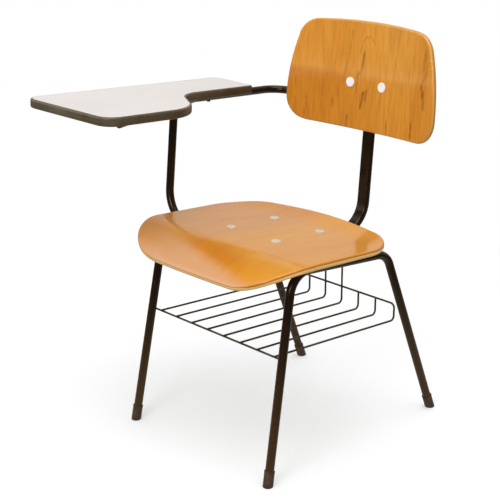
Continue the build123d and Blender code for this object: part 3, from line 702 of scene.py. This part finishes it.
# ---------------------------------------------------------------- seat, in metres on the chair's axes
SEAT_PLY = 13.0 * MM
SEAT_HALF_WIDTH = 245.5 * MM
SEAT_FRONT_Y = -300.0 * MM
SEAT_FRONT_BOW = 4.0 * MM
SEAT_FRONT_CORNER = 127.0 * MM
SEAT_REAR_Y = 132.0 * MM
SEAT_REAR_BOW = 46.0 * MM
SEAT_REAR_CORNER = 113.0 * MM
SEAT_POINTS = 300
WATERFALL_START_Y = -175.0 * MM
WATERFALL_RADIUS = 173.0 * MM
WATERFALL_LIMIT = 0.95
UPTURN_START_Y = 42.0 * MM
UPTURN_RADIUS = 385.0 * MM
SIDE_LIFT = 1.5 * MM
SIDE_LIFT_START = 130.0 * MM
CORNER_LIFT = 3.5 * MM
CORNER_LIFT_START = (80.0 * MM, 30.0 * MM)
CORNER_LIFT_RUN = (140.0 * MM, 80.0 * MM)
LIFT_LIMIT = 1.2
SEAT_LIP = 5.2 * MM
SEAT_HEEL = 3.6 * MM


def seat_local_y(y):
    """How far behind the front cross tube a place on the chair's axes is, along the seat."""
    return (y - FRONT_CROSS_Y) / cos(SEAT_SLOPE)


def lift_share(value, start, run):
    return np.clip((value - start) / run, 0, LIFT_LIMIT) ** 2


def seat_height(x, y):
    """The seat's top: flat over the cross tubes, falling in front, curling up behind and at the sides."""
    fall = np.clip(seat_local_y(WATERFALL_START_Y) - seat_local_y(y), 0, WATERFALL_RADIUS * WATERFALL_LIMIT)
    rise = np.clip(seat_local_y(y) - seat_local_y(UPTURN_START_Y), 0, None)
    up = TUBE_RADIUS + SEAT_PLY
    up = up - (WATERFALL_RADIUS - np.sqrt(WATERFALL_RADIUS**2 - fall**2))
    up = up + (UPTURN_RADIUS - np.sqrt(UPTURN_RADIUS**2 - rise**2))
    side = lift_share(np.abs(x), SIDE_LIFT_START, SEAT_HALF_WIDTH - SIDE_LIFT_START)
    corner_x = lift_share(np.abs(x), CORNER_LIFT_START[0], CORNER_LIFT_RUN[0])
    corner_y = lift_share(y, CORNER_LIFT_START[1], CORNER_LIFT_RUN[1])
    up = up + SIDE_LIFT * side + CORNER_LIFT * corner_x * corner_y
    return FRONT_CROSS.z + up / cos(SEAT_SLOPE) - (y - FRONT_CROSS_Y) * tan(SEAT_SLOPE)


def seat_surface(points):
    x, y = points[:, 0], points[:, 1]
    slope_x = (seat_height(x + SLOPE_STEP, y) - seat_height(x - SLOPE_STEP, y)) / (2 * SLOPE_STEP)
    slope_y = (seat_height(x, y + SLOPE_STEP) - seat_height(x, y - SLOPE_STEP)) / (2 * SLOPE_STEP)
    places = np.stack([x + CHAIR_X, y + CHAIR_Y, seat_height(x, y)], 1)
    return places, unit(np.stack([-slope_x, -slope_y, np.ones_like(x)], 1))


def build_seat():
    sides = mirrored_sides(
        SEAT_HALF_WIDTH, SEAT_FRONT_Y + SEAT_FRONT_BOW, SEAT_FRONT_Y,
        SEAT_HALF_WIDTH, SEAT_REAR_Y - SEAT_REAR_BOW, SEAT_REAR_Y)
    radii = [SEAT_FRONT_CORNER, SEAT_REAR_CORNER, SEAT_REAR_CORNER, SEAT_FRONT_CORNER]
    outline = evenly(rounded(sides, radii), SEAT_POINTS)
    seat = sheet_mesh(
        "seat_plywood_shell", outline, seat_surface, SEAT_PLY, SEAT_LIP, SEAT_HEEL, seat_plywood())
    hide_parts("seat_shell")


# ---------------------------------------------------------------- backrest, about its front face's centre
BACK_PLY = 11.0 * MM
BACK_CENTRE = chair(0, 256.7, 758.7)
BACK_LEAN = radians(4.7)
BACK_RADIUS = 749.0 * MM
BACK_BOTTOM_HALF = 219.0 * MM
BACK_BOTTOM_V = -121.0 * MM
BACK_BOTTOM_BOW = 3.0 * MM
BACK_WAIST = (216.3 * MM, 7.0 * MM)
BACK_TOP_HALF = 183.0 * MM
BACK_SHOULDER_V = 120.0 * MM
BACK_TOP_V = 129.5 * MM
BACK_BOTTOM_CORNER = 54.0 * MM
BACK_TOP_CORNER = 57.0 * MM
BACK_POINTS = 280
BACK_LIP = 3.8 * MM
BACK_HEEL = 3.8 * MM


def back_surface(points):
    """The backrest's front face, bent to a cylinder whose axis leans with it."""
    across = np.array([1.0, 0.0, 0.0])
    upwards = np.array([0.0, sin(BACK_LEAN), cos(BACK_LEAN)])
    forwards = np.array([0.0, -cos(BACK_LEAN), sin(BACK_LEAN)])
    u, v = points[:, 0:1], points[:, 1:2]
    sag = BACK_RADIUS - np.sqrt(BACK_RADIUS**2 - u**2)
    places = np.array(BACK_CENTRE) + u * across + v * upwards + sag * forwards
    normals = (-u * across + (BACK_RADIUS - sag) * forwards) / BACK_RADIUS
    return places, normals


def build_backrest():
    sides = mirrored_sides(
        BACK_BOTTOM_HALF, BACK_BOTTOM_V + BACK_BOTTOM_BOW, BACK_BOTTOM_V,
        BACK_TOP_HALF, BACK_SHOULDER_V, BACK_TOP_V, waist=BACK_WAIST)
    radii = [BACK_BOTTOM_CORNER, BACK_TOP_CORNER, BACK_TOP_CORNER, BACK_BOTTOM_CORNER]
    outline = evenly(rounded(sides, radii), BACK_POINTS)
    back = sheet_mesh(
        "backrest_plywood_shell", outline, back_surface, BACK_PLY, BACK_LIP, BACK_HEEL, back_plywood())
    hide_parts("backrest_shell")


# ---------------------------------------------------------------- finishes for the frame's own nodes
def finish(names, material):
    for name in names:
        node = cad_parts[name]
        node.data.materials.clear()
        node.data.materials.append(material)
        node.data.polygons.foreach_set("use_smooth", [True] * len(node.data.polygons))


def finish_nodes():
    names = sorted(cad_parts)
    tips = [name for name in names if "foot_tip" in name or name.endswith("_plug")]
    wires = [name for name in names if name.startswith("basket_") and not name.endswith("plate")]
    tubes = ["left_side_frame", "right_side_frame", "front_cross_tube", "rear_cross_tube", "back_spine",
             "arm_tube", "tablet_support_tube", "back_plate", "basket_hanger_plate"]
    finish(tubes, enamel("frame_enamel", linear(20, 11, 5), linear(34, 21, 11), 0.22))
    finish(wires, enamel("wire_enamel", linear(60, 47, 31), linear(76, 62, 44), 0.34))
    finish(tips, plastic("tip_plastic", linear(56, 39, 23), linear(80, 59, 38), 0.5))
    finish(["tablet_laminate"], laminate())
    finish(["tablet_edge_band"], edge_band())
    finish(["tablet_board"], chipboard())
    finish(["tablet_backing"], backing())
    finish(["back_rivets"], rivet_enamel("back_rivet", linear(252, 252, 255), linear(238, 239, 243)))
    finish(["seat_rivets"], rivet_enamel("seat_rivet", linear(208, 200, 184), linear(192, 182, 164)))
    finish(["tablet_screws"], zinc())


# ---------------------------------------------------------------- floor
# The wall shows in the chair's reflections only, behind the chair as the camera sees it.
WALL_DIRECTION = (-0.725, 0.689, 0.0)
FLOOR_HALF_SIZE = 30.0
FLOOR_GLOW = 0.36
FLOOR_SHADOW_REACH = (0.7, 1.5)
PATCH_DISTANCE = 1.3
PATCH_REACH = (2.1, 1.5)
PATCH_COLOUR = (0.52, 0.49, 0.44, 1.0)


def white_floor():
    """A flat floor that the camera sees as white, with the chair's soft shadow.

    Light that bounces off it meets mid grey. In reflections it is dim, with a pale patch behind the chair.
    """
    s = Material("floor")
    place = s.place()
    mottle = s.noise(place, 3.0)
    s.surface(Base_Color=s.mix(mottle, linear(146, 143, 138), linear(154, 151, 146)), Roughness=0.9)
    paper = s.diffuse(s.mix(mottle, linear(249, 252, 255), linear(250, 253, 255)))
    away = s.vector("DISTANCE", place, (0.0, 0.0, 0.0), "Value")
    glow = s.remap(away, *FLOOR_SHADOW_REACH, FLOOR_GLOW, 1.0, smooth=True)
    seen = s.blend(glow, paper, s.emission(WHITE))
    direct = s.blend(s.ray("Is Camera Ray"), s.principled.outputs["BSDF"], seen)
    from_patch = s.vector("DISTANCE", place, Vector(WALL_DIRECTION) * PATCH_DISTANCE, "Value")
    patch = s.fade(from_patch, *PATCH_REACH)
    mirrored = s.blend(patch, s.diffuse(linear(84, 80, 74)), s.emission(PATCH_COLOUR))
    both = s.blend(s.ray("Is Glossy Ray"), direct, mirrored)
    s.plug(s.nodes["Material Output"].inputs["Surface"], both)
    return s.owner


def add_floor():
    size = FLOOR_HALF_SIZE
    corners = [(-size, -size, 0), (size, -size, 0), (size, size, 0), (-size, size, 0)]
    mesh = bpy.data.meshes.new("floor")
    mesh.from_pydata(corners, [], [(0, 1, 2, 3)])
    mesh.materials.append(white_floor())
    floor = bpy.data.objects.new("floor", mesh)
    bpy.context.scene.collection.objects.link(floor)


# ---------------------------------------------------------------- world
# Pairs are the dot products, or heights, between which a part of the room comes in.
AMBIENT_COLOUR = (0.82, 0.81, 0.79, 1.0)
ROOM_COLOUR = (0.17, 0.155, 0.14, 1.0)
WALL_COLOUR = (0.62, 0.60, 0.57, 1.0)
WALL_SIDES = (0.0, 0.6)
WALL_RIGHT = (0.689, 0.725, 0.0)
WALL_SLANT = 0.9
WALL_TOP = (0.7, 0.5)
CEILING_COLOUR = (1.3, 1.27, 1.2, 1.0)
CEILING_EDGE = (0.75, 0.95)
SIDE_LIGHT_COLOUR = (1.3, 1.27, 1.22, 1.0)
SIDE_LIGHT_DIRECTION = (-0.72, -0.47, 0.51)
SIDE_LIGHT_EDGE = (0.80, 0.96)


def add_world():
    """White to the camera, and an even light on the chair.

    Reflections show a dim room instead: a pale wall behind the chair whose top rises to the right, a
    bright ceiling, and a light at one side.
    """
    world = Tree(bpy.data.worlds.new("studio"))
    way = world.add("ShaderNodeTexCoord").outputs["Generated"]
    height = world.split(way)["Z"]

    def towards(direction):
        return world.vector("DOT_PRODUCT", way, direction, "Value")

    top = world.math("MULTIPLY_ADD", towards(WALL_RIGHT), -WALL_SLANT, height)
    wall = world.product(world.fade(towards(WALL_DIRECTION), *WALL_SIDES), world.fade(top, *WALL_TOP))
    room = world.mix(wall, ROOM_COLOUR, WALL_COLOUR)
    room = world.mix(world.fade(height, *CEILING_EDGE), room, CEILING_COLOUR)
    side_light = world.fade(towards(SIDE_LIGHT_DIRECTION), *SIDE_LIGHT_EDGE)
    room = world.mix(side_light, room, SIDE_LIGHT_COLOUR)

    lighting = world.nodes["Background"]
    world.plug(lighting.inputs["Color"], world.mix(world.ray("Is Glossy Ray"), AMBIENT_COLOUR, room))
    seen = world.add("ShaderNodeBackground", {"Color": WHITE, "Strength": 1.0})
    both = world.blend(world.ray("Is Camera Ray"), lighting.outputs[0], seen.outputs[0])
    world.plug(world.nodes["World Output"].inputs["Surface"], both)
    bpy.context.scene.world = world.owner


# ---------------------------------------------------------------- lamps
LAMP_COLOUR = (1.0, 0.99, 0.975)
LAMP_AIM = (0.0, 0.0, 0.45)
LAMPS = (
    # name, place, width and height in metres, power in watts
    ("overhead", (0.9, -0.7, 7.0), 5.0, 5.0, 170),
    ("front", (1.4, -4.0, 2.6), 1.8, 2.0, 70),
)


def add_lamps():
    for name, place, width, height, power in LAMPS:
        data = bpy.data.lights.new(name, "AREA")
        data.shape = "RECTANGLE"
        data.size = width
        data.size_y = height
        data.energy = power
        data.color = LAMP_COLOUR
        lamp = bpy.data.objects.new(name, data)
        lamp.location = place
        lamp.rotation_euler = (Vector(LAMP_AIM) - Vector(place)).to_track_quat("-Z", "Y").to_euler()
        bpy.context.scene.collection.objects.link(lamp)


# ---------------------------------------------------------------- the scene
bpy.context.scene.view_settings.view_transform = "Standard"
add_camera()
add_world()
add_lamps()
add_floor()
finish_nodes()
build_seat()
build_backrest()
